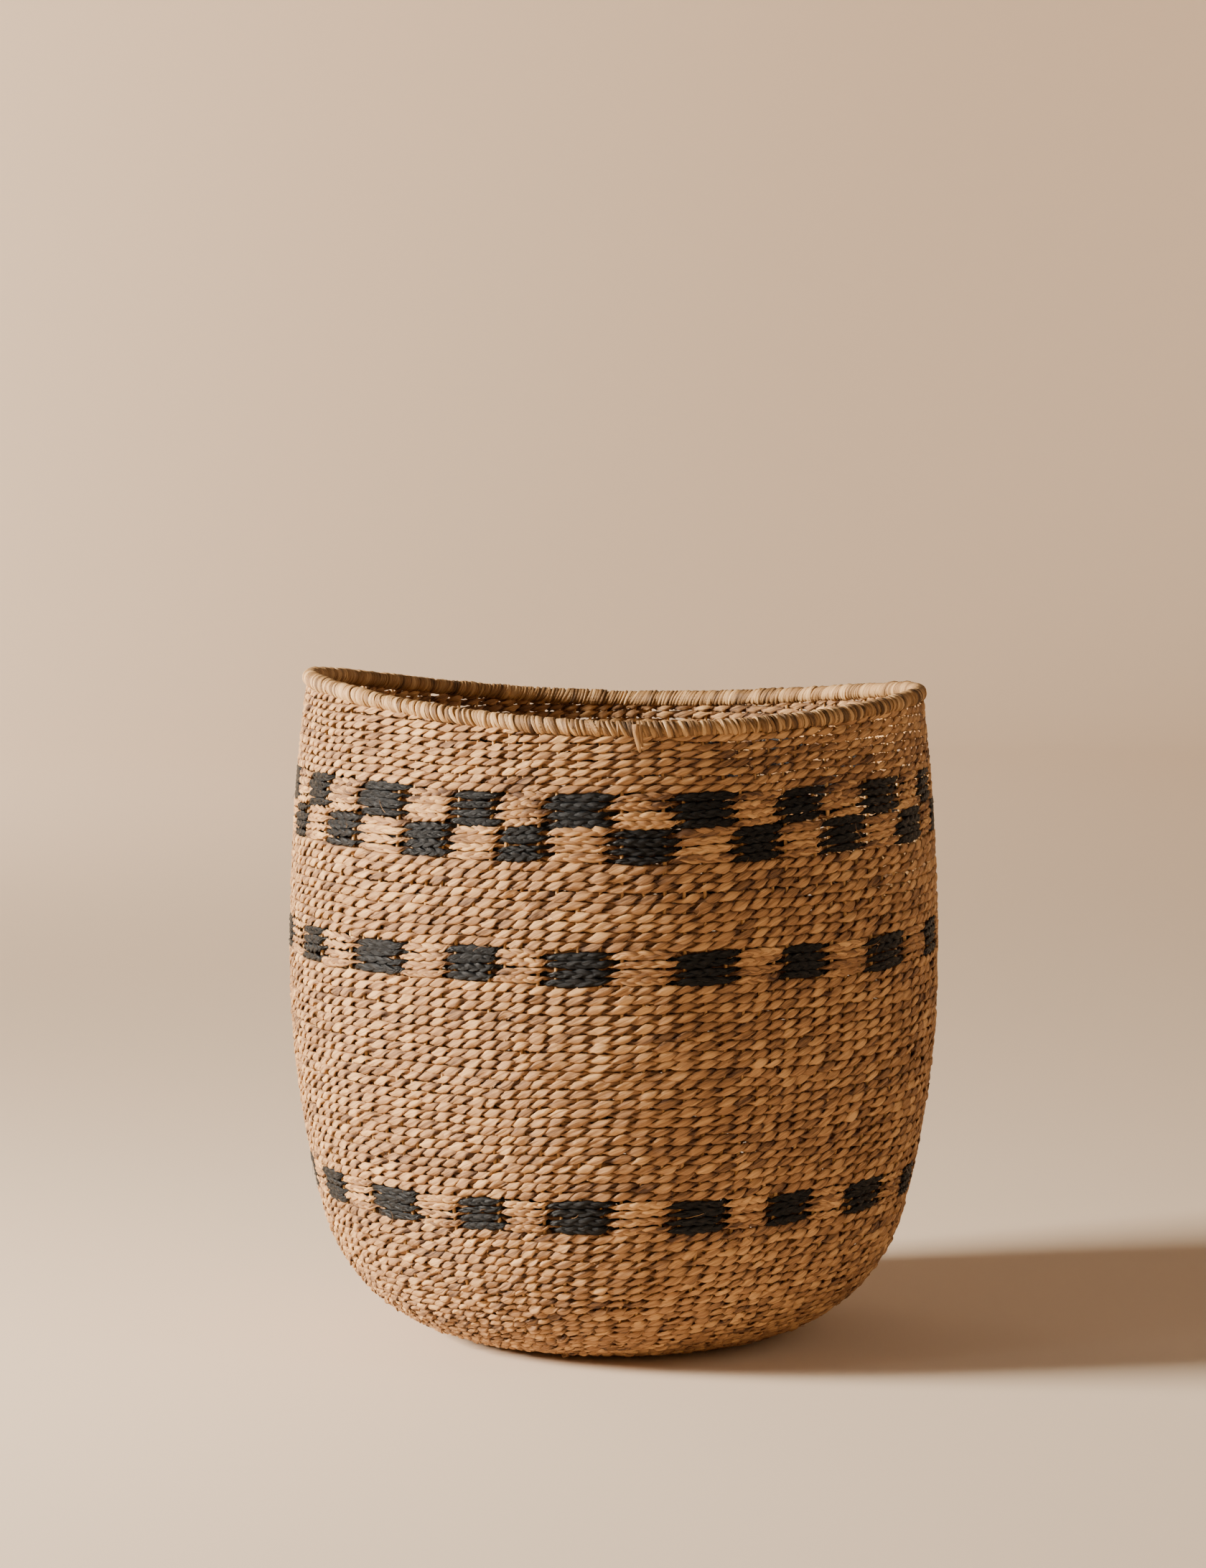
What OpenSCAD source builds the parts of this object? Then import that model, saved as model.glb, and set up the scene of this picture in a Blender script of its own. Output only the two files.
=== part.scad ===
// Seagrass storage basket, barrel shaped, weft twined on round stakes.
// Origin on the floor under the middle of the basket, +Z up, front of the basket towards -Y.
// Every strand of a twined course passes in turn outside and inside the stakes, so the wall has
// three layers: outside passes, stakes, inside passes. Crossings join the two strand layers.

/* [Body] */
// Outer radius of the wall at its widest course
belly_radius = 252; // [200:1:300]
// Height of the widest course above the floor
belly_height = 290; // [260:1:320]
// Radius of the wall's profile arc above the widest course
upper_arc = 1720; // [1200:10:3000]
// Radius of the wall's profile arc below the widest course
lower_arc = 750; // [650:10:1000]
// Height at which the wall turns into the rounded heel
heel_height = 95; // [85:1:110]

/* [Rim] */
// Mean height of the rim's top between front and back
rim_height = 488; // [480:1:500]
// How far the front rim stands above that mean, and the back rim below it
rim_tilt = 8.4; // [0:0.2:12]
// How far the left of the rim stands above the mean of its sides, and the right below it
rim_lean = 6; // [0:0.5:10]
// How far the sides of the rim rise above the front and back
rim_saddle = 22; // [5:1:35]
// Thickness of the wrapped rim roll
roll_diameter = 12.6; // [11:0.2:14]
// Thickness of the hoop inside the roll
hoop_diameter = 7; // [5:0.5:8]

/* [Weave] */
// Thickness of one layer of strand
strand = 3; // [2.5:0.1:3.5]
// Thickness of a stake
stake_diameter = 2.8; // [2:0.1:3]
// Clearance between a stake and each strand layer
stake_clearance = 0.1; // [0.05:0.05:0.2]
// Height of one plain course along the wall
course = 7.2; // [6:0.1:9]
// How deep the groove between two courses is
groove = 0.8; // [0.4:0.1:1.2]

/* [Checker bands] */
// Black blocks around one ring
blocks = 18; // [12:2:24]
// Stakes under each block
stakes_per_block = 3; // [2:1:3]
// Angle from the front to the middle of the nearest black block
block_start = -5.14; // [-10:0.01:10]
// Height of one ring of blocks along the wall
block_height = 25.7; // [22:0.1:30]
// Courses in one ring of blocks
block_courses = 4; // [3:1:5]
// Height of the middle of the low band
low_band = 128; // [120:1:140]
// Height of the middle of the middle band
middle_band = 316; // [300:1:330]
// Height of the line between the two rings of the upper band
upper_band = 418.8; // [405:0.1:425]

/* [Base] */
// Radius of the bound knot that starts the base
knot_radius = 24; // [20:1:28]
// Radius at which the wall stakes are set in between the base spokes
stake_start = 70; // [68:1:76]

/* [Colours] */
// Natural seagrass
natural = "#b98a5a";
// Black dyed seagrass
black = "#26272a";
// Stakes and spokes
cane = "#c8a372";

/* [Hidden] */
$fn = 96;

// Layers, measured inwards from the outer face.
gap = stake_diameter + 2 * stake_clearance;
wall = 2 * strand + gap;
stake_depth = wall / 2;
stake_sides = 4;
front = -90;

// Angles: one cell is one block wide, and a crossing stands between two cells.
cells = 2 * blocks;
cell = 360 / cells;
stakes = cells * stakes_per_block;
stake_pitch = 360 / stakes;
crossing = 0.8;
spoke_cell = 8;
first_cell = front + block_start;

// Profile: base, heel arc, lower arc and upper arc, one after the other, by length from the axis.
heel_turn = asin((belly_height - heel_height) / lower_arc);
heel_arc = heel_height / (1 - sin(heel_turn));
heel_x = belly_radius - lower_arc + (lower_arc - heel_arc) * cos(heel_turn);
s_heel = heel_x;
s_bowl = s_heel + heel_arc * (90 - heel_turn) * PI / 180;
s_belly = s_bowl + lower_arc * heel_turn * PI / 180;

heel_centre = [heel_x, heel_arc];
lower_centre = [belly_radius - lower_arc, belly_height];
upper_centre = [belly_radius - upper_arc, belly_height];
function arc_point(centre, r, a) = centre + r * [cos(a), sin(a)];
function turn(length, radius) = length / radius * 180 / PI;
function wall_point(s, d) =
    s < s_heel ? [s, d] :
    s < s_bowl ? arc_point(heel_centre, heel_arc - d, turn(s - s_heel, heel_arc) - 90) :
    s < s_belly ? arc_point(lower_centre, lower_arc - d, turn(s - s_belly, lower_arc)) :
    arc_point(upper_centre, upper_arc - d, turn(s - s_belly, upper_arc));
function length_at(z) =
    z >= belly_height ? s_belly + upper_arc * asin((z - belly_height) / upper_arc) * PI / 180 :
    z >= heel_height ? s_belly - lower_arc * asin((belly_height - z) / lower_arc) * PI / 180 :
    s_heel + heel_arc * (90 - asin(1 - z / heel_arc)) * PI / 180;

// Lengths at which each zone starts and ends.
s_low = length_at(low_band) - block_height / 2;
s_middle = length_at(middle_band) - block_height / 2;
s_upper = length_at(upper_band);
s_turn = s_bowl - 4 * course;
s_lip = length_at(rim_height + rim_tilt + rim_lean + rim_saddle);

// Rim: the top of the roll at an angle, its centre line, and the cylinder that cuts the wall.
function rim_top(a) =
    rim_height - rim_tilt * sin(a) - rim_lean * cos(a) + rim_saddle * pow(cos(a), 2);
rim_radius = wall_point(length_at(rim_height), stake_depth)[0];
saddle_arc = pow(rim_radius, 2) / (2 * rim_saddle);
saddle_shift = rim_lean * rim_radius / (2 * rim_saddle);
tilt_angle = -atan(rim_tilt / rim_radius);
function roll_centre(a) =
    let (z = rim_top(a) - roll_diameter / 2, r = wall_point(length_at(z), stake_depth)[0])
    [r * cos(a), r * sin(a), z];

// One side of an outline: ridged with one crest for each course, or plain with steps short
// enough for the arc that it follows.
function reversed(list) = [for (i = [len(list) - 1 : -1 : 0]) list[i]];
function count(s0, s1) = max(1, round((s1 - s0) / course));
function ridged(s0, s1, n, valley, crest) =
    [for (i = [0 : 2 * n]) wall_point(s0 + (s1 - s0) * i / (2 * n), i % 2 == 0 ? valley : crest)];
function plain(s0, s1, d) =
    let (step = (s1 + s0) / 2 < s_bowl ? 1.6 * course : 4 * course)
    let (n = max(1, ceil((s1 - s0) / step)))
    [for (i = [0 : n]) wall_point(s0 + (s1 - s0) * i / n, d)];

// Outlines of a whole zone, of its outer and inner strand layers, and of any layer between.
function zone(s0, s1, n) = concat(
    ridged(s0, s1, n, groove, 0), reversed(ridged(s0, s1, n, wall - groove, wall)));
function outer_layer(s0, s1, n) = concat(
    ridged(s0, s1, n, groove, 0), reversed(plain(s0, s1, strand)));
function inner_layer(s0, s1, n) = concat(
    plain(s0, s1, wall - strand), reversed(ridged(s0, s1, n, wall - groove, wall)));
function layer(s0, s1, d0, d1) = concat(plain(s0, s1, d0), reversed(plain(s0, s1, d1)));

module sector(a0, a1, outline)
    rotate([0, 0, a0])
        rotate_extrude(angle = a1 - a0)
            polygon(outline);

// The stakes stand in one pocket per cell, and the strands cross between the pockets.
module pockets(s0, s1, width)
    for (i = [0 : cells - 1])
        let (a = first_cell + i * cell)
        sector(a - width / 2, a + width / 2, layer(s0 - 1, s1 + 1, strand, wall - strand));

module twined_zone(s0, s1)
    difference() {
        rotate_extrude() polygon(zone(s0, s1, count(s0, s1)));
        pockets(s0, s1, cell - crossing);
        children();
    }

// The natural strands of a ring of blocks: outside in the natural cells, inside behind the black
// ones, and through the wall between two cells.
module band_natural(s0, black_cell) {
    s1 = s0 + block_height;
    past = 1;
    width = cell - crossing;
    difference() {
        rotate_extrude() polygon(zone(s0, s1, block_courses));
        for (i = [0 : cells - 1])
            let (a = first_cell + i * cell, before = i % 2 == black_cell)
            sector(a - width / 2, a + width / 2, before
                ? layer(s0 - past, s1 + past, -past, wall - strand)
                : layer(s0 - past, s1 + past, strand, wall + past));
    }
}

// The black strands of a ring of blocks, between the crossings: outside in the black cells and
// inside behind the natural ones.
module band_black(s0, black_cell) {
    s1 = s0 + block_height;
    width = cell - crossing;
    for (i = [0 : cells - 1])
        let (a = first_cell + i * cell, before = i % 2 == black_cell)
        sector(a - width / 2, a + width / 2, before
            ? outer_layer(s0, s1, block_courses)
            : inner_layer(s0, s1, block_courses));
}

// Everything above the underside of the rim roll.
module above_wall() {
    seat = rim_height - roll_diameter - rim_saddle * pow(saddle_shift / rim_radius, 2);
    rotate([tilt_angle, 0, 0])
        translate([saddle_shift, 0, seat + saddle_arc])
            rotate([90, 0, 0])
                cylinder(r = saddle_arc, h = 4 * belly_radius, center = true, $fn = 360);
}

module base_knot() color(natural)
    rotate_extrude()
        polygon(concat(
            [[0, 0], [knot_radius, 0], [knot_radius, wall]],
            [for (i = [3 : -1 : 1]) each [
                [(i - 0.5) * knot_radius / 3, wall + groove],
                [(i - 1) * knot_radius / 3, wall]]]));

module base_ring(r0, r1, width) {
    n = count(r0, r1);
    difference() {
        rotate_extrude()
            polygon(concat(
                [[r0, 0], [r1, 0]],
                reversed(ridged(r0, r1, n, wall - groove, wall))));
        pockets(r0, r1, width);
    }
}

module base_inner_weave() color(natural)
    base_ring(knot_radius, stake_start - 1, spoke_cell);

module base_outer_weave() color(natural)
    base_ring(stake_start - 1, s_heel, cell - crossing);

module base_spokes() color(cane)
    for (i = [0 : cells - 1])
        rotate([0, 0, first_cell + i * cell])
            translate([knot_radius + 0.5, 0, stake_depth])
                rotate([0, 90, 0])
                    cylinder(d = stake_diameter, h = stake_start - knot_radius - 2);

module heel_weave() color(natural) twined_zone(s_heel, s_turn);
module bowl_weave() color(natural) twined_zone(s_turn, s_low);
module belly_weave() color(natural) twined_zone(s_low + block_height, s_middle);
module shoulder_weave() color(natural)
    twined_zone(s_middle + block_height, s_upper - block_height);

module low_band_natural() color(natural) band_natural(s_low, 0);
module low_band_black() color(black) band_black(s_low, 0);
module middle_band_natural() color(natural) band_natural(s_middle, 0);
module middle_band_black() color(black) band_black(s_middle, 0);
module upper_band_lower_natural() color(natural) band_natural(s_upper - block_height, 1);
module upper_band_lower_black() color(black) band_black(s_upper - block_height, 1);
module upper_band_upper_natural() color(natural) band_natural(s_upper, 0);
module upper_band_upper_black() color(black) band_black(s_upper, 0);

module neck_weave() color(natural)
    twined_zone(s_upper + block_height, s_lip) above_wall();

// A length of stake bent to an arc of the profile, starting level with the arc's centre or under
// it, in the XZ plane.
module bent_stake(radius, start, sweep, diameter)
    rotate([90, 0, 0])
        rotate([0, 0, start])
            rotate_extrude(angle = sweep)
                translate([radius - stake_depth, 0])
                    circle(d = diameter, $fn = stake_sides);

// One stake from the base, round the heel and up to the rim roll, in the XZ plane. It thins a
// little from each arc of the profile to the next, and laps into it.
module stake(top) {
    thin = 0.1;
    lap = 1;
    tip = asin((top - belly_height) / upper_arc);
    heel_lap = turn(lap, heel_arc);
    translate([heel_x, 0, 0]) {
        translate([0, 0, stake_depth])
            rotate([0, -90, 0])
                cylinder(d = stake_diameter, h = heel_x - stake_start, $fn = stake_sides);
        translate([0, 0, heel_arc])
            bent_stake(heel_arc, -90 - heel_lap, 90 + heel_lap - heel_turn, stake_diameter - thin);
    }
    translate([lower_centre[0], 0, belly_height])
        bent_stake(lower_arc, 0, -heel_turn - turn(lap, lower_arc), stake_diameter - 2 * thin);
    translate([upper_centre[0], 0, belly_height])
        bent_stake(upper_arc, -turn(lap, upper_arc), tip + turn(lap, upper_arc),
            stake_diameter - 3 * thin);
}

module stake_at(a)
    rotate([0, 0, a])
        stake(rim_top(a) - roll_diameter - 1);

// The main stakes carry on from the spokes. Two more are added between each two of them.
module main_stakes() color(cane)
    for (i = [0 : cells - 1])
        stake_at(first_cell + i * cell);

module added_stakes() color(cane)
    for (i = [0 : cells - 1], side = [1 : stakes_per_block - 1])
        stake_at(first_cell + i * cell + side * stake_pitch);

// Round bar of a diameter along the rim's centre line, as one closed ring.
module rim_ring(diameter, sides) {
    steps = 72;
    points = [for (i = [0 : steps - 1], j = [0 : sides - 1])
        let (a = i * 360 / steps, b = j * 360 / sides, c = roll_centre(a), r = diameter / 2)
        [c[0] + r * cos(b) * cos(a), c[1] + r * cos(b) * sin(a), c[2] + r * sin(b)]];
    faces = [for (i = [0 : steps - 1], j = [0 : sides - 1])
        let (k = (i + 1) % steps, m = (j + 1) % sides)
        [i * sides + j, i * sides + m, k * sides + m, k * sides + j]];
    polyhedron(points, faces, convexity = 8);
}

module rim_hoop() color(cane) rim_ring(hoop_diameter, 8);

module rim_binding() color(natural)
    difference() {
        rim_ring(roll_diameter, 12);
        rim_ring(hoop_diameter + 0.2, 8);
    }

// Where the binding strand ends, it comes out under the roll and is tucked down over the neck.
module binding_end() color(natural) {
    a = front + 4.2;
    half_width = 0.9;
    thickness = 2;
    tuck = 10;
    s1 = length_at(roll_centre(a)[2] - 4.8);
    sector(a - half_width, a + half_width, layer(s1 - tuck, s1, -thickness, 0));
}

base_knot();
base_spokes();
base_inner_weave();
base_outer_weave();
heel_weave();
bowl_weave();
low_band_natural();
low_band_black();
belly_weave();
middle_band_natural();
middle_band_black();
shoulder_weave();
upper_band_lower_natural();
upper_band_lower_black();
upper_band_upper_natural();
upper_band_upper_black();
neck_weave();
main_stakes();
added_stakes();
rim_hoop();
rim_binding();
binding_end();
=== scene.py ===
import math

import bpy
import numpy as np
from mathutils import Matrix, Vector


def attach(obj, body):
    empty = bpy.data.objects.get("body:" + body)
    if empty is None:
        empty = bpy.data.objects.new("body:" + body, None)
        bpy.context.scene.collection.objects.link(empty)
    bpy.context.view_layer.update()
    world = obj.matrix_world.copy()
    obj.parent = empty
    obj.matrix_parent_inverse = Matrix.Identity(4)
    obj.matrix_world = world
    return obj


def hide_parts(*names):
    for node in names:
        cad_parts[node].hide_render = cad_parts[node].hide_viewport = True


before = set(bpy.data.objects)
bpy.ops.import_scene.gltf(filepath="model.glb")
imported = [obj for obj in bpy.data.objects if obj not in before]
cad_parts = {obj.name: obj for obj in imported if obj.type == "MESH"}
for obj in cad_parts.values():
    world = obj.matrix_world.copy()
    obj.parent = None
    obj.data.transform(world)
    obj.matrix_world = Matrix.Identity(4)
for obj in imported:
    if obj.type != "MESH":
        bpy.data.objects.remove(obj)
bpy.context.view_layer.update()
rng = np.random.default_rng(7)

# ---------------------------------------------------------------- the wall's profile, in mm
# Lengths run from the axis along the outer face. Depth runs inwards from that face.
BELLY_RADIUS, BELLY_HEIGHT = 252.0, 290.0
UPPER_ARC, LOWER_ARC, HEEL_HEIGHT = 1720.0, 750.0, 95.0
RIM_HEIGHT, RIM_TILT, RIM_LEAN, RIM_SADDLE, ROLL = 488.0, 8.4, 6.0, 22.0, 12.6
COURSE, BLOCK_HEIGHT, BLOCK_COURSES = 7.2, 25.7, 4
LOW_BAND, MIDDLE_BAND, UPPER_BAND = 128.0, 316.0, 418.8
KNOT_RADIUS, INNER_BASE_RADIUS, STAKE_START = 24.0, 69.0, 70.0
# Height of a course of the neck, and how far up one may reach behind the rim roll.
NECK_PITCH, NECK_TUCK = 6.1, 3.4
# Depth of the middle of the wall, where the stakes stand.
MID = 4.5
# A strand passes this far outside and inside the middle of the wall.
SWING = 2.55
MM = 0.001

# One cell is one block wide. Angles run round the axis from +X.
CELLS, STAKES_PER_CELL = 36, 3
STAKES = CELLS * STAKES_PER_CELL
FRONT = -math.pi / 2
BLOCK_START = -5.14  # degrees from the front to the middle of the nearest black block
FIRST_CELL = math.radians(-90 + BLOCK_START)
CELL = 2 * math.pi / CELLS
PITCH = 2 * math.pi / STAKES
FIRST_STAKE = FIRST_CELL - PITCH

HEEL_TURN = math.asin((BELLY_HEIGHT - HEEL_HEIGHT) / LOWER_ARC)
HEEL_ARC = HEEL_HEIGHT / (1 - math.sin(HEEL_TURN))
S_HEEL = BELLY_RADIUS - LOWER_ARC + (LOWER_ARC - HEEL_ARC) * math.cos(HEEL_TURN)
S_BOWL = S_HEEL + HEEL_ARC * (math.pi / 2 - HEEL_TURN)
S_BELLY = S_BOWL + LOWER_ARC * HEEL_TURN


def profile(s):
    """Radius and height of the outer face at a length, and the outward normal there."""
    s = np.asarray(s, float)
    heel = (s - S_HEEL) / HEEL_ARC - math.pi / 2
    lower = (s - S_BELLY) / LOWER_ARC
    upper = (s - S_BELLY) / UPPER_ARC
    a = np.where(s < S_HEEL, -math.pi / 2, np.where(s < S_BOWL, heel, np.where(s < S_BELLY, lower, upper)))
    r = np.where(s < S_HEEL, s, np.where(
        s < S_BOWL, S_HEEL + HEEL_ARC * np.cos(a), np.where(
            s < S_BELLY, BELLY_RADIUS - LOWER_ARC + LOWER_ARC * np.cos(a),
            BELLY_RADIUS - UPPER_ARC + UPPER_ARC * np.cos(a))))
    z = np.where(s < S_HEEL, 0.0, np.where(
        s < S_BOWL, HEEL_ARC + HEEL_ARC * np.sin(a), np.where(
            s < S_BELLY, BELLY_HEIGHT + LOWER_ARC * np.sin(a),
            BELLY_HEIGHT + UPPER_ARC * np.sin(a))))
    return r, z, np.cos(a), np.sin(a)


def spread(theta):
    """The stakes stand a little closer together in some places than in others."""
    at = theta - FRONT
    return theta + 0.0186 * np.sin(7 * (at - 0.07)) + 0.0035 * np.sin(17 * at + 1.3)


def on_wall(theta, s, out):
    """Points out mm outside the middle of the wall, and the axes there: outwards and up the wall."""
    theta = spread(theta)
    r, z, nr, nz = profile(s)
    d = MID - out
    r, z = r - d * nr, z - d * nz
    c, k = np.cos(theta), np.sin(theta)
    zero = np.zeros_like(c)
    point = np.stack([r * c, r * k, z], -1)
    outward = np.stack([nr * c, nr * k, nz + zero], -1)
    up = np.stack([-nz * c, -nz * k, nr + zero], -1)
    return point, outward, up


def length_at(z):
    """Length at a height above the belly."""
    return S_BELLY + UPPER_ARC * np.arcsin((np.asarray(z, float) - BELLY_HEIGHT) / UPPER_ARC)


def length_low(z):
    """Length at a height between the heel and the belly."""
    return S_BELLY - LOWER_ARC * math.asin((BELLY_HEIGHT - z) / LOWER_ARC)


def rim_top(theta):
    """Height of the top of the rim roll at an angle."""
    c = np.cos(theta)
    return RIM_HEIGHT - RIM_TILT * np.sin(theta) - RIM_LEAN * c + RIM_SADDLE * c ** 2


# Lengths at which the zones start, from the base up.
S_TURN = S_BOWL - 4 * COURSE
S_LOW = length_low(LOW_BAND) - BLOCK_HEIGHT / 2
S_MIDDLE = float(length_at(MIDDLE_BAND)) - BLOCK_HEIGHT / 2
S_UPPER = float(length_at(UPPER_BAND))
S_NECK = S_UPPER + BLOCK_HEIGHT


def waves(theta, s):
    """How far a course wanders up or down the wall, nearly alike for courses close together."""
    return (0.75 * np.sin(3 * theta + s / 71 + 0.6) + 0.55 * np.sin(7 * theta - s / 43 + 2.1)
            + 0.4 * np.sin(13 * theta + s / 29 + 4.0) + 0.3 * np.sin(23 * theta - s / 19))


# ---------------------------------------------------------------- strands as meshes
def unit(v):
    """Vectors scaled to length one."""
    return v / np.maximum(np.linalg.norm(v, axis=-1, keepdims=True), 1e-9)


def keyed(values, t):
    """Random values at whole steps along a strand, eased between the steps, the last to the first."""
    i = np.floor(t).astype(int)
    f = t - i
    f = f * f * (3 - 2 * f)
    n = len(values)
    if values.ndim > 1:
        f = f[:, None]
    return values[i % n] * (1 - f) + values[(i + 1) % n] * f


# Sections of a strand: across it and out of its face, from -1 to 1. LEAF is a flattened strand,
# crowned on its face, and PLY is one of the three lengths that make up a rounder strand.
LEAF = np.array([[-1.0, -0.25], [-0.7, 0.6], [-0.2, 1.0], [0.28, 0.9], [0.72, 0.5], [1.0, -0.25],
                 [0.5, -0.85], [0.0, -1.0], [-0.5, -0.85]])
PLY = np.array([[-1.0, 0.0], [-0.45, 0.95], [0.45, 0.95], [1.0, 0.0], [0.45, -0.95], [-0.45, -0.95]])
LEAF_EDGES = [0, 5, 6, 7, 8]

# Painted shade: how much darker a strand's edges and back are than its face, and how much darker the
# stretch that dives inside the wall is, where shade falls.
EDGE_SHADE = 0.18
DIVE_SHADE = 0.25
# Radians by which both strands lean where they cross, so that no light comes straight through.
CROSS_TILT = 0.28


class Weave:
    """Gathers flattened strands and makes one mesh object of them."""

    def __init__(self):
        self.points, self.faces, self.fibre, self.tone = [], [], [], []
        self.count = 0

    def strand(self, path, thin, wide, section, half_thick, half_wide, tone, seed, crease=None,
               capped=False):
        """One strand along a path. thin and wide are the axes of its section at each path point,
        crease moves the section's corners out of its face, and capped closes both ends."""
        n, m = len(path), len(section)
        along = unit(np.gradient(path, axis=0))
        if np.allclose(path[0], path[-1], atol=1e-3):
            along[[0, -1]] = unit(path[1] - path[-2])
        wide = unit(wide - np.sum(wide * along, -1, keepdims=True) * along)
        side = np.cross(along, wide)
        side = np.where(np.sum(side * thin, -1, keepdims=True) < 0, -side, side)
        x = section[None, :, 0] * half_wide[:, None]
        y = section[None, :, 1] * half_thick[:, None]
        if crease is not None:
            y = y + crease
        p = path[:, None, :] + wide[:, None, :] * x[..., None] + side[:, None, :] * y[..., None]
        run = np.concatenate([[0], np.cumsum(np.linalg.norm(np.diff(path, axis=0), axis=-1))])
        f = np.empty((n, m, 3))
        f[..., 0] = run[:, None]
        f[..., 1] = x + y * 0.6
        f[..., 2] = seed
        # Painted shade: the back half of each section is made darker than its face.
        shade = tone[:, None] - EDGE_SHADE * (section[None, :, 1] < 0)
        i = np.arange(n - 1)[:, None] * m
        j = np.arange(m)[None, :]
        k = (j + 1) % m
        quads = np.stack([i + j, i + k, i + m + k, i + m + j], -1).reshape(-1, 4)
        # Faces look outwards whichever way the section's axes turn.
        flip = np.sum(np.cross(wide[0], side[0]) * along[0]) < 0
        quads = quads if flip else quads[:, ::-1]
        self.points.append(p.reshape(-1, 3))
        self.fibre.append(f.reshape(-1, 3))
        self.tone.append(shade.reshape(-1))
        self.faces.append(quads + self.count)
        if capped:
            # A fan of triangles closes each end. Its faces repeat their last corner.
            corners = np.arange(1, m - 1)
            for end, turn in ((0, flip), (n - 1, not flip)):
                base = self.count + end * m
                fan = base + np.stack([0 * corners, corners, corners + 1, corners + 1], -1)
                self.faces.append(fan if not turn else fan[:, [0, 2, 1, 1]])
        self.count += n * m

    def piece(self, name, material, slot, *nodes):
        """One object of everything gathered, which stands for the CAD nodes named."""
        points = np.concatenate(self.points) * MM
        points[:, 2] = np.maximum(points[:, 2], 0.0)
        corner = np.concatenate(self.faces)
        triangle = corner[:, 2] == corner[:, 3]
        sizes = np.where(triangle, 3, 4)
        keep = np.ones_like(corner, bool)
        keep[triangle, 3] = False
        loops = corner[keep]
        me = bpy.data.meshes.new(name)
        me.vertices.add(len(points))
        me.vertices.foreach_set("co", points.astype(np.float32).ravel())
        me.loops.add(len(loops))
        me.loops.foreach_set("vertex_index", loops.astype(np.int32))
        me.polygons.add(len(sizes))
        starts = np.concatenate([[0], np.cumsum(sizes)[:-1]])
        me.polygons.foreach_set("loop_start", starts.astype(np.int32))
        me.polygons.foreach_set("use_smooth", np.ones(len(sizes), bool))
        me.update(calc_edges=True)
        # Both go to the material: where a point is along and across its strand, and how light it is, which
        # is its own tone less the painted shade on its back and edges and where it dives into the wall.
        fibre = me.attributes.new("fibre", "FLOAT_VECTOR", "POINT")
        fibre.data.foreach_set("vector", np.concatenate(self.fibre).astype(np.float32).ravel())
        tone = me.attributes.new("tone", "FLOAT", "POINT")
        tone.data.foreach_set("value", np.concatenate(self.tone).astype(np.float32))
        me.validate()
        ob = bpy.data.objects.new(name, me)
        bpy.context.scene.collection.objects.link(ob)
        me.materials.append(material)
        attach(ob, "root")
        if nodes:
            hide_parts(*nodes)


def turning(phase, amount=0.48):
    """The strand's face stays flat to the wall over a stake and turns fast between two stakes."""
    return phase - amount * np.sin(2 * phase)


def face_axes(a, outward, up):
    """The axes of a strand turned by a about its path: out of its face, and across it."""
    c, k = np.cos(a)[:, None], np.sin(a)[:, None]
    return c * outward + k * up, -k * outward + c * up


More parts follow.
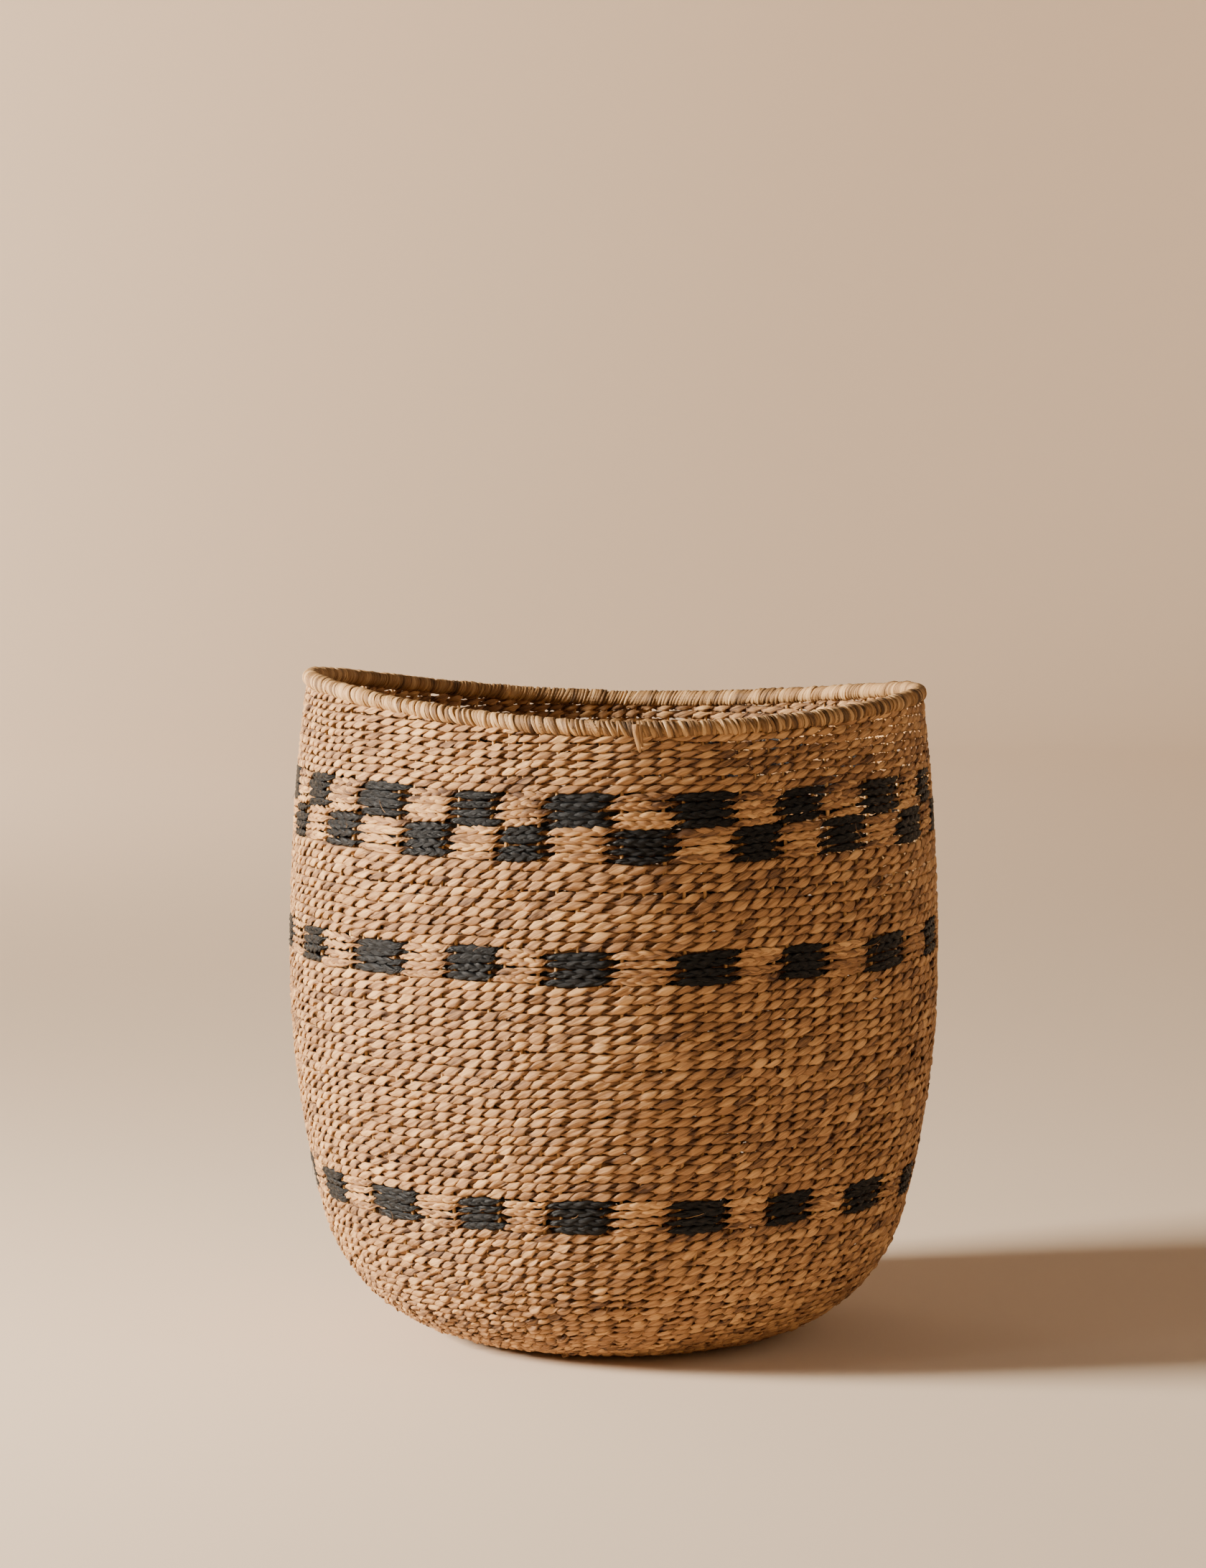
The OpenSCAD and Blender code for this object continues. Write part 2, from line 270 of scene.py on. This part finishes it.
def plain_course(weave, s0, pitch, stakes, first, steps=6, swing=SWING, lift=2.0, span=None,
                 rough=1.0, edge=0.215, swell=1.3):
    """Two strands twined round every stake of a course at length s0. steps is points per stake, and
    span lists the stretches, in stakes, of a course that doesn't run all the way round. swing and
    lift are how far a strand moves in and out and up and down. edge is its half thickness between
    two stakes, in pitches, swell how much thicker its inner edge is there, and rough how uneven."""
    middle_thick = 0.12
    step = 2 * math.pi / stakes
    shift = rng.normal(0, 0.15)
    rise = rng.normal(0, 0.18)
    ring = span is None
    for turn in (0, 1):
        join = float(rng.integers(stakes))
        stretches = [(join, join + stakes)] if ring else span
        seed = rng.random() * 40
        n = stakes
        wide = np.clip(rng.normal(1.0, 0.1 * rough, n), 0.72, 1.3)
        fat = rng.random(n) < 0.035
        wide = np.where(fat, wide * 1.2, wide)
        proud = rng.normal(0, 0.26 * rough, n) + np.where(fat, 0.5, 0.0)
        high = rng.normal(0, 0.4 * rough, n)
        late = rng.normal(0, 0.07 * rough, n)
        roll = rng.normal(0, 0.2 * rough, n)
        tone = rng.normal(0.52, 0.13, n) + keyed(rng.normal(0, 0.09, n), np.arange(n) / 9)
        fold = rng.normal(0, 0.4 * rough, (n, len(LEAF)))
        fold[:, LEAF_EDGES] *= 0.25
        for t0, t1 in stretches:
            count = max(int(round((t1 - t0) * steps)), 4)
            t = np.linspace(t0, t1, count + 1)
            theta = first + (t + shift) * step
            phase = math.pi * (t + turn + keyed(late, t))
            side = np.cos(phase)
            out = swing * (side + 0.48 * (1 - side ** 2))
            front = side ** 2
            s = s0 + rise + waves(theta, s0) + lift * np.sin(phase) + keyed(high, t)
            out = out + keyed(proud, t) * side
            path, outward, up = on_wall(theta, s, out)
            a = turning(phase) + keyed(roll, t) + CROSS_TILT * (1 - front)
            thin, across = face_axes(a, outward, up)
            half_wide = pitch * (0.24 + 0.28 * front ** 1.15) * keyed(wide, t)
            half_thick = pitch * (edge + (middle_thick - edge) * front) * (0.8 + 0.2 * keyed(wide, t))
            # The inner edge swells where two strands cross, which closes the wall behind the slit.
            inner = np.clip(np.sin(a)[:, None] * LEAF[None, :, 0], 0, 1) * np.sign(LEAF[None, :, 1])
            crease = keyed(fold, t) + swell * (half_thick * (1 - front) ** 2)[:, None] * inner
            if not ring:
                # A stretch that stops under the rim tapers over three points at each end.
                ends = np.minimum(np.arange(count + 1), np.arange(count + 1)[::-1]) / 3.0
                half_wide = half_wide * np.clip(ends, 0.25, 1)
            # Painted shade: the tone is made darker where the strand dives inside the wall between two
            # stakes.
            weave.strand(path, thin, across, LEAF, half_thick, half_wide,
                         keyed(tone, t) - DIVE_SHADE * (1 - front) ** 5, seed, crease, capped=not ring)


def band_ring(natural, black, s_start, black_cell):
    """A ring of blocks: the pair of strands changes sides once a cell instead of once a stake."""
    steps = 20
    full_width = 6.9
    plies = 3
    for k in range(BLOCK_COURSES):
        s0 = s_start + (k + 0.5) * BLOCK_HEIGHT / BLOCK_COURSES
        shift = rng.normal(0, 0.025)
        for weave, offset in ((black, black_cell), (natural, 1 - black_cell)):
            n = CELLS
            t = np.linspace(0, n, n * steps + 1) + 2 * rng.integers(n)
            jog = keyed(rng.normal(0, 0.035, n), t + 0.5)
            frac = (t + jog) % 1.0
            cell = np.floor(t + jog)
            # The strands change sides in the middle third of a step from one cell to the next.
            ease = np.clip((frac - 0.33) / 0.34, 0, 1)
            ease = ease * ease * (3 - 2 * ease)
            phase = math.pi * (cell + ease + offset)
            theta = FIRST_CELL + (t + shift) * CELL
            wide = keyed(np.clip(rng.normal(0.97, 0.11, n), 0.72, 1.2), t + 0.5)
            proud = keyed(rng.normal(0, 0.22, n), t + 0.5)
            high = keyed(rng.normal(0, 0.42, n), t + 0.5)
            tone = keyed(np.clip(rng.normal(0.5, 0.16, n), 0, 1), t + 0.5)
            swing = SWING * np.cos(phase) + proud * np.cos(phase)
            tip = np.abs(np.cos(phase))
            near = 2 * np.abs(((t + jog + 0.5) % 1.0) - 0.5)
            slope = -0.4 * np.sin(2 * math.pi * (t + jog + 0.5)) * tip
            s = s0 + waves(theta, s0) + 1.9 * np.sin(phase) + high + slope
            middle, outward, up = on_wall(theta, s, swing)
            a = turning(phase, 0.3) + CROSS_TILT * np.sin(phase) ** 2
            thin, across = face_axes(a, outward, up)
            full = full_width * wide * (0.42 + 0.58 * (1 - near ** 2.4))
            laps = round(CELLS * rng.uniform(1.15, 1.6))
            turns = 2 * math.pi * laps * t / n + rng.uniform(0, 6)
            hand = rng.choice([-1, 1])
            for ply in range(plies):
                u = hand * turns + 2 * math.pi * ply / plies
                x = 0.25 * full * np.sin(u)
                y = 0.7 * np.sin(2 * u)
                path = middle + across * x[:, None] + thin * y[:, None]
                tilt = 0.25 * np.cos(u)
                axis = across * np.cos(tilt)[:, None] + thin * np.sin(tilt)[:, None]
                fold = keyed(rng.normal(0, 0.2, (3 * n, len(PLY))), 3 * t)
                stretch = keyed(rng.normal(1.0, 0.14, 3 * n), 3 * t)
                # Painted shade: each ply is made darker towards the ends of its float, where it dives into
                # the wall.
                weave.strand(path, thin, axis, PLY, 0.82 + 0.1 * np.cos(u * 2),
                             (0.3 + 0.06 * np.cos(u)) * full * stretch,
                             np.clip(tone + rng.normal(-0.02, 0.14), 0, 1) - 0.25 * near ** 3,
                             rng.random() * 40, fold)


def rope(weave, path, wide, half, tone, seed, sides=6):
    """A round length along a path. wide is any direction across it."""
    a = np.arange(sides) * 2 * math.pi / sides
    section = np.stack([np.cos(a), np.sin(a)], -1)
    along = unit(np.gradient(path, axis=0))
    wide = np.broadcast_to(wide, path.shape)
    thin = np.cross(along, wide)
    half = np.broadcast_to(half, (len(path),))
    weave.strand(path, thin, wide, section, half, half, np.full(len(path), tone), seed, capped=True)


# ---------------------------------------------------------------- materials
def shader(name):
    """A new material, its node tree and its shader."""
    m = bpy.data.materials.new(name)
    m.use_nodes = True
    nt = m.node_tree
    bsdf = nt.nodes["Principled BSDF"]
    return m, nt, bsdf


def srgb(hexa):
    """A linear colour from a hex one."""
    c = [int(hexa[i:i + 2], 16) / 255 for i in (1, 3, 5)]
    return [(x / 12.92 if x <= 0.04045 else ((x + 0.055) / 1.055) ** 2.4) for x in c] + [1.0]


def node(nt, kind, **props):
    """A new node with some of its properties set."""
    n = nt.nodes.new(kind)
    for k, v in props.items():
        setattr(n, k, v)
    return n


def streaks(nt, scale, detail, rough=0.6):
    """Noise drawn out along the strand, from the coordinates kept on the mesh."""
    at = node(nt, "ShaderNodeAttribute", attribute_name="fibre")
    mul = node(nt, "ShaderNodeVectorMath", operation="MULTIPLY")
    mul.inputs[1].default_value = scale
    noise = node(nt, "ShaderNodeTexNoise", noise_dimensions="3D")
    noise.inputs["Scale"].default_value = 1.0
    noise.inputs["Detail"].default_value = detail
    noise.inputs["Roughness"].default_value = rough
    nt.links.new(at.outputs["Vector"], mul.inputs[0])
    nt.links.new(mul.outputs[0], noise.inputs["Vector"])
    return noise.outputs["Fac"]


def ramp(nt, fac, stops):
    """A colour ramp with the stops given."""
    r = node(nt, "ShaderNodeValToRGB")
    while len(r.color_ramp.elements) < len(stops):
        r.color_ramp.elements.new(0.5)
    for e, (pos, col) in zip(r.color_ramp.elements, stops):
        e.position = pos
        e.color = col
    nt.links.new(fac, r.inputs["Fac"])
    return r.outputs["Color"]


def remap(nt, fac, low, high, to_low, to_high):
    """A value stretched from one range to another, and clamped there."""
    m = node(nt, "ShaderNodeMapRange")
    for i, v in enumerate((low, high, to_low, to_high)):
        m.inputs[i + 1].default_value = v
    nt.links.new(fac, m.inputs[0])
    return m.outputs[0]


def mix(nt, fac, base, colour):
    """A colour laid over another one where fac is high."""
    m = node(nt, "ShaderNodeMix", data_type="RGBA", blend_type="MIX")
    nt.links.new(fac, m.inputs[0])
    nt.links.new(base, m.inputs[6])
    m.inputs[7].default_value = colour
    return m.outputs[2]


def add(nt, a, b, ka, kb):
    """ka times a, plus kb times b."""
    m = node(nt, "ShaderNodeMath", operation="MULTIPLY")
    m.inputs[1].default_value = ka
    n = node(nt, "ShaderNodeMath", operation="MULTIPLY_ADD")
    n.inputs[1].default_value = kb
    nt.links.new(a, m.inputs[0])
    nt.links.new(b, n.inputs[0])
    nt.links.new(m.outputs[0], n.inputs[2])
    return n.outputs[0]


def fibre_material(name, dark, mid, light, stain, rough=(0.5, 0.78), bump=0.8, shine=0.4,
                   scuff_and_sheen=None):
    """Plant fibre: a colour for each strand, broad and fine streaks along it, and soft stains over
    many strands. The bump follows the streaks, and a pale scuff colour, partly worn fibres and partly
    painted sheen, is laid on where the fine ones peak."""
    m, nt, bsdf = shader(name)
    broad = streaks(nt, (0.035, 0.42, 1.0), 3.0)
    fine = streaks(nt, (0.09, 2.6, 1.0), 5.0, 0.65)
    # tone holds each strand's own lightness, less the painted shade on its back, edges and dives.
    tone = node(nt, "ShaderNodeAttribute", attribute_name="tone").outputs["Fac"]
    value = add(nt, broad, fine, 0.62, 0.38)
    value = add(nt, value, tone, 0.72, 0.28)
    colour = ramp(nt, value, [(0.34, dark), (0.48, mid), (0.63, light)])
    coords = node(nt, "ShaderNodeTexCoord")
    patch = node(nt, "ShaderNodeTexNoise")
    patch.inputs["Scale"].default_value = 16.0
    patch.inputs["Detail"].default_value = 3.0
    nt.links.new(coords.outputs["Object"], patch.inputs["Vector"])
    colour = mix(nt, remap(nt, patch.outputs["Fac"], 0.5, 0.8, 0.0, 0.3), colour, stain)
    if scuff_and_sheen:
        # Pale colour where the fine streaks peak: partly worn fibres, partly painted sheen.
        colour = mix(nt, remap(nt, fine, 0.6, 0.74, 0.0, 0.36), colour, scuff_and_sheen)
    nt.links.new(colour, bsdf.inputs["Base Color"])
    nt.links.new(remap(nt, fine, 0.3, 0.7, rough[1], rough[0]), bsdf.inputs["Roughness"])
    bsdf.inputs["Specular IOR Level"].default_value = shine
    relief = node(nt, "ShaderNodeBump")
    relief.inputs["Strength"].default_value = bump
    relief.inputs["Distance"].default_value = 1.4 * MM
    nt.links.new(add(nt, fine, broad, 0.45, 1.0), relief.inputs["Height"])
    nt.links.new(relief.outputs[0], bsdf.inputs["Normal"])
    return m


natural_mat = fibre_material("natural seagrass", srgb("#4d3627"), srgb("#a2784f"), srgb("#dcae74"),
                             srgb("#8c6138"), shine=0.28)
rim_mat = fibre_material("rim seagrass", srgb("#483016"), srgb("#a07748"), srgb("#d2aa76"),
                         srgb("#86683c"), bump=1.0)
cane_mat = fibre_material("cane", srgb("#8a6130"), srgb("#bc9058"), srgb("#dab783"),
                          srgb("#a87c46"), bump=0.3)
# Its pale scuffs are partly worn fibres and partly painted sheen.
black_mat = fibre_material("black seagrass", srgb("#030303"), srgb("#070708"), srgb("#131517"),
                           srgb("#050506"), rough=(0.33, 0.55), bump=1.2, shine=0.25,
                           scuff_and_sheen=srgb("#7d7b78"))

# ---------------------------------------------------------------- the woven zones
SLOT_NATURAL, SLOT_BLACK, SLOT_RIM, SLOT_CANE = (
    "natural_seagrass", "black_seagrass", "rim_seagrass", "cane")


def zone(name, node_name, s0, s1, per_piece, first=FIRST_STAKE, stakes=STAKES, **kw):
    """Plain courses from one length to another, per_piece of them to an object."""
    n = max(1, round((s1 - s0) / COURSE))
    pitch = (s1 - s0) / n
    for start in range(0, n, per_piece):
        w = Weave()
        for k in range(start, min(start + per_piece, n)):
            plain_course(w, s0 + (k + 0.5) * pitch, pitch, stakes, first, **kw)
        w.piece(f"{name}_{start // per_piece + 1}", natural_mat, SLOT_NATURAL, node_name)


def band(name, s0, black_cell):
    """One ring of blocks, as a natural and a black object."""
    natural, black = Weave(), Weave()
    band_ring(natural, black, s0, black_cell)
    natural.piece(f"{name}_natural_strands", natural_mat, SLOT_NATURAL, f"{name}_natural")
    black.piece(f"{name}_black_strands", black_mat, SLOT_BLACK, f"{name}_black")


def stretches_inside(t, inside):
    """The stretches of a closed course, in stakes, over which inside is true."""
    edges = np.flatnonzero(np.diff(inside.astype(int)))
    starts = [e for e in edges if not inside[e]]
    ends = [e for e in edges if inside[e]]
    stretches = []
    for a in starts:
        later = [e for e in ends if e > a]
        e = later[0] if later else ends[0] + len(t) - 1
        stretches.append((t[a], e * t[-1] / (len(t) - 1)))
    return stretches


def neck():
    """Courses of one pitch, which run out under the rim roll where the rim dips."""
    t = np.linspace(0, STAKES, STAKES * 12 + 1)
    roll_foot = length_at(rim_top(FIRST_STAKE + t * PITCH) - ROLL)
    courses = int(math.ceil((roll_foot.max() - S_NECK) / NECK_PITCH))
    half = courses // 2
    for part, group in (("lower", range(0, half)), ("upper", range(half, courses))):
        w = Weave()
        for k in group:
            s0 = S_NECK + (k + 0.5) * NECK_PITCH
            inside = roll_foot > s0 - NECK_TUCK
            if inside.all():
                plain_course(w, s0, NECK_PITCH, STAKES, FIRST_STAKE, lift=1.45, edge=0.25)
            elif inside.any():
                plain_course(w, s0, NECK_PITCH, STAKES, FIRST_STAKE, lift=1.45, edge=0.22, swell=0.4,
                             span=stretches_inside(t, inside))
        w.piece(f"neck_strands_{part}", natural_mat, SLOT_NATURAL, "neck_weave")


# ---------------------------------------------------------------- base knot, spokes and stakes
def base_knot():
    """Two small courses round six strands that pass over and under each other."""
    w = Weave()
    for ring in range(2):
        plain_course(w, 9.5 + 7.0 * ring, 6.6, 18, FIRST_CELL, swing=2.2, lift=1.2)
    spacing = 4.6
    t = np.linspace(-9, 9, 15)
    up = np.tile([0.0, 0.0, 1.0], (len(t), 1))
    for k in range(6):
        across = k % 2
        offset = (k // 2 - 1) * spacing
        over = 1.3 * np.cos(math.pi * (t / spacing) + k * math.pi)
        flat = np.stack([t, np.full_like(t, offset), MID + over * 0.9], -1)
        path = flat if across else flat[:, [1, 0, 2]]
        sideways = np.tile([0.0, 1.0, 0.0] if across else [1.0, 0.0, 0.0], (len(t), 1))
        w.strand(path, up, sideways, LEAF, np.full(len(t), 1.1), np.full(len(t), 2.5),
                 np.full(len(t), 0.5), rng.random() * 40, capped=True)
    w.piece("base_knot_strands", natural_mat, SLOT_NATURAL, "base_knot")


def base_spokes():
    """Rods from under the knot to just short of where the wall stakes start."""
    w = Weave()
    for i in range(CELLS):
        a = FIRST_CELL + i * CELL
        s = np.linspace(8.0, STAKE_START - 2, 14)
        p, _, _ = on_wall(np.full_like(s, a), s, rng.normal(0, 0.1, len(s)))
        rope(w, p, [-math.sin(a), math.cos(a), 0.0], 1.35, rng.uniform(0.3, 0.7), rng.random() * 40)
    w.piece("base_spoke_rods", cane_mat, SLOT_CANE, "base_spokes")


def stake_rods(name, places):
    """The stakes at some of the places in each cell, from the base round the heel into the roll."""
    w = Weave()
    for i in range(STAKES):
        if i % STAKES_PER_CELL not in places:
            continue
        a = FIRST_CELL + i * PITCH
        top = float(length_at(rim_top(a) - ROLL * 0.6))
        s = np.concatenate([np.linspace(STAKE_START, S_HEEL, 4)[:-1],
                            np.linspace(S_HEEL, S_BOWL, 12)[:-1], np.linspace(S_BOWL, top, 26)])
        drift = keyed(rng.normal(0, 0.25, 12), s / 62)
        r = np.maximum(profile(s)[0], 30)
        p, _, _ = on_wall(a + drift / r, s, rng.normal(0, 0.08, len(s)))
        rope(w, p, [-math.sin(a), math.cos(a), 0.0], 1.4 + 0.1 * rng.normal(0, 1, len(s)),
             rng.uniform(0.25, 0.75), rng.random() * 40)
    w.piece(f"{name}_stake_rods", cane_mat, SLOT_CANE, f"{name}_stakes")


# ---------------------------------------------------------------- the rim roll
def roll_axes(theta):
    """Centre line of the rim roll and its axes: outwards and up."""
    z = rim_top(theta) - ROLL / 2
    r = profile(length_at(z))[0] - MID
    c, k = np.cos(theta), np.sin(theta)
    zero = np.zeros_like(c)
    return (np.stack([r * c, r * k, z], -1), np.stack([c, k, zero], -1),
            np.stack([zero, zero, zero + 1.0], -1))


def rim_wraps():
    """One strand wound round the roll all the way, each wrap with its own lean, width and bulge."""
    wrap, mean_radius, steps = 2.9, 237.0, 16
    wraps = int(round(2 * math.pi * mean_radius / wrap))
    t = np.linspace(0, wraps, wraps * steps + 1)
    lean = keyed(rng.normal(0.85, 0.35, wraps), t)
    slip = keyed(rng.normal(0, 0.2, wraps), t)
    theta = 2 * math.pi * (t + slip - lean * np.sin(2 * math.pi * t)) / wraps
    lumps = 0.35 * np.sin(29 * theta + 1.0) * np.sin(11 * theta)
    radius = 5.65 + keyed(rng.normal(0, 0.24, wraps), t) + lumps
    centre, outward, up = roll_axes(theta)
    turn = 2 * math.pi * t
    radial = np.cos(turn)[:, None] * outward + np.sin(turn)[:, None] * up
    path = centre + radial * radius[:, None]
    half_wide = keyed(np.clip(rng.normal(1.85, 0.36, wraps), 1.2, 2.8), t)
    fold = rng.normal(0, 0.22, (wraps, len(LEAF)))
    tone = keyed(np.clip(rng.normal(0.5, 0.3, wraps), 0, 1), t)
    w = Weave()
    w.strand(path, radial, np.cross(up, outward), LEAF, np.full(len(t), 0.76), half_wide, tone, 3.0,
             keyed(fold, t))
    w.piece("rim_wraps", rim_mat, SLOT_RIM, "rim_binding")


def rim_core():
    """The hoop inside the roll, thick enough that no gap shows between two wraps."""
    a = np.linspace(0, 2 * math.pi, 181)
    centre, outward, up = roll_axes(a)
    radius = np.full(len(a), 5.1)
    section = np.array([[math.cos(b), math.sin(b)] for b in np.arange(12) * math.pi / 6])
    w = Weave()
    w.strand(centre, outward, up, section, radius, radius, np.full(len(a), 0.3), 1.0)
    w.piece("rim_core", cane_mat, SLOT_CANE, "rim_hoop")


def binding_tuck():
    """The end of the wrap, which comes out under the roll and is tucked down over the neck."""
    w = Weave()
    for k, (turn, wide, tone) in enumerate(((3.6, 2.4, 0.5), (4.4, 1.7, 0.4))):
        a0 = FRONT + math.radians(turn)
        q = np.linspace(0, 1, 16)
        a = a0 + np.radians(0.9) * (q ** 1.5) * (1 - 0.6 * k)
        s = float(length_at(rim_top(a0) - ROLL)) + 10.5 - (22.0 - 4 * k) * q
        # It lies over the neck, and its tip goes in through the wall.
        out = 7.0 - 3.6 * q ** 2.0 - 5.5 * np.clip(q - 0.86, 0, 1) / 0.14
        p, outward, up = on_wall(a, s, out)
        w.strand(p, outward, np.cross(up, outward), LEAF, 0.9 - 0.3 * q, wide * (1 - 0.72 * q ** 2.2),
                 np.full(len(q), tone), 11.0 + k, keyed(rng.normal(0, 0.2, (5, len(LEAF))), q * 4),
                 capped=True)
    w.piece("binding_tuck", rim_mat, SLOT_RIM, "binding_end")


def loose_fibres():
    """Short broken fibres that stand out of the weave. A third of them are kept low on the wall."""
    w = Weave()
    for i in range(170):
        a = rng.uniform(0, 2 * math.pi)
        s = rng.uniform(150, 655) if i % 3 else rng.uniform(150, 330)
        length = rng.uniform(5, 17)
        q = np.linspace(0, 1, 7)
        heading = rng.uniform(-0.6, 0.6) + (0 if rng.random() < 0.7 else math.pi)
        bend = rng.uniform(-0.9, 0.9)
        r = float(profile(s)[0])
        theta = a + length * q * np.cos(heading + bend * q) / r
        p, outward, _ = on_wall(theta, s + length * q * np.sin(heading + bend * q),
                                3.6 + rng.uniform(0.8, 2.6) * q ** 1.5)
        rope(w, p, outward, 0.2 * (1 - 0.7 * q), rng.uniform(0.3, 0.8), rng.random() * 40, sides=4)
    w.piece("loose_fibres", natural_mat, SLOT_NATURAL)


# ---------------------------------------------------------------- the basket
zone("base_inner_strands", "base_inner_weave", KNOT_RADIUS, INNER_BASE_RADIUS, 7, stakes=CELLS,
     first=FIRST_CELL)
zone("base_outer_strands", "base_outer_weave", INNER_BASE_RADIUS, S_HEEL, 5, steps=4, swing=2.3, lift=1.1)
zone("heel_strands", "heel_weave", S_HEEL, S_TURN, 10, steps=5, lift=1.5, rough=1.25)
zone("bowl_strands", "bowl_weave", S_TURN, S_LOW, 8, rough=1.2)
zone("belly_strands", "belly_weave", S_LOW + BLOCK_HEIGHT, S_MIDDLE, 8)
zone("shoulder_strands", "shoulder_weave", S_MIDDLE + BLOCK_HEIGHT, S_UPPER - BLOCK_HEIGHT, 8)
band("low_band", S_LOW, 0)
band("middle_band", S_MIDDLE, 0)
band("upper_band_lower", S_UPPER - BLOCK_HEIGHT, 1)
band("upper_band_upper", S_UPPER, 0)
neck()
base_knot()
base_spokes()
stake_rods("main", (0,))
stake_rods("added", (1, 2))
rim_wraps()
rim_core()
binding_tuck()
loose_fibres()

# ---------------------------------------------------------------- floor, light and camera
def lathe(name, outline, material):
    """A stage piece turned from an outline of radius and height in metres, closed in the middle."""
    n = 96
    around = np.arange(n) * 2 * math.pi / n
    points = [(r * math.cos(a), r * math.sin(a), z) for r, z in outline for a in around]
    faces = []
    for i in range(len(outline) - 1):
        for j in range(n):
            k = (j + 1) % n
            faces.append((i * n + j, i * n + k, (i + 1) * n + k, (i + 1) * n + j))
    faces.append(tuple(range(n))[::-1])
    me = bpy.data.meshes.new(name)
    me.from_pydata(points, [], faces)
    for face in me.polygons:
        face.use_smooth = True
    me.materials.append(material)
    ob = bpy.data.objects.new(name, me)
    bpy.context.scene.collection.objects.link(ob)


floor_mat, _, bsdf = shader("floor")
bsdf.inputs["Base Color"].default_value = srgb("#dfcab1")
bsdf.inputs["Roughness"].default_value = 0.85
bsdf.inputs["Specular IOR Level"].default_value = 0.15
# A flat floor that curves up into a round wall.
FLOOR_RADIUS, COVE_RADIUS, WALL_HEIGHT = 4.8, 1.6, 4.0
cove = [(FLOOR_RADIUS + COVE_RADIUS * math.sin(b), COVE_RADIUS - COVE_RADIUS * math.cos(b))
        for b in np.linspace(0.1, math.pi / 2, 12)]
lathe("floor", [(3.0, 0.0), (FLOOR_RADIUS, 0.0)] + cove + [(FLOOR_RADIUS + COVE_RADIUS, WALL_HEIGHT)],
      floor_mat)

world = bpy.data.worlds.new("studio")
world.use_nodes = True
background = world.node_tree.nodes["Background"]
background.inputs["Color"].default_value = (1.0, 0.95, 0.91, 1.0)
background.inputs["Strength"].default_value = 0.065
bpy.context.scene.world = world


def area(name, place, target, size, power, colour, spread_angle=180):
    """A soft light that the camera doesn't see."""
    light = bpy.data.lights.new(name, "AREA")
    light.shape = "RECTANGLE"
    light.size, light.size_y = size
    light.energy = power
    light.color = colour
    light.spread = math.radians(spread_angle)
    ob = bpy.data.objects.new(name, light)
    ob.location = place
    ob.rotation_mode = "QUATERNION"
    ob.rotation_quaternion = (Vector(target) - Vector(place)).to_track_quat("-Z", "Y")
    ob.visible_camera = False
    bpy.context.scene.collection.objects.link(ob)


BASKET_MIDDLE = (0, 0, 0.25)
area("key", (-3.46, -0.70, 1.5), BASKET_MIDDLE, (1.0, 1.0), 177, (1.0, 0.93, 0.83), 100)
area("fill", (3.3, -1.0, 1.8), BASKET_MIDDLE, (2.4, 2.0), 6, (0.95, 0.97, 1.0))
# These light the wall of the stage on each side.
for name, place, aim, power in (("backdrop_left", (-3.4, 3.2, 2.4), (-2.4, 6.0, 0.8), 315),
                                ("backdrop_right", (3.2, 2.0, 2.8), (2.5, 6.0, 0.8), 2),
                                ("side_left", (-2.6, 0.6, 2.8), (-6.2, 0.3, 0.8), 90),
                                ("side_right", (2.6, 0.6, 2.8), (6.2, 0.3, 0.8), 50),
                                ("front_left", (-3.0, -2.2, 2.8), (-1.0, -6.2, 0.8), 60),
                                ("front_right", (3.0, -2.2, 2.8), (1.0, -6.2, 0.8), 60)):
    area(name, place, aim, (2.2, 2.0), power, (1.0, 0.92, 0.83))

cam = bpy.data.cameras.new("camera")
cam.sensor_width = 36.0
cam.lens = 116.0
cam.clip_start, cam.clip_end = 0.1, 60.0
eye = bpy.data.objects.new("camera", cam)
eye.location = (0.0, -3.894, 0.821)
eye.rotation_euler = (math.radians(90 - 5.79), 0.0, math.radians(0.122))
bpy.context.scene.collection.objects.link(eye)
bpy.context.scene.camera = eye
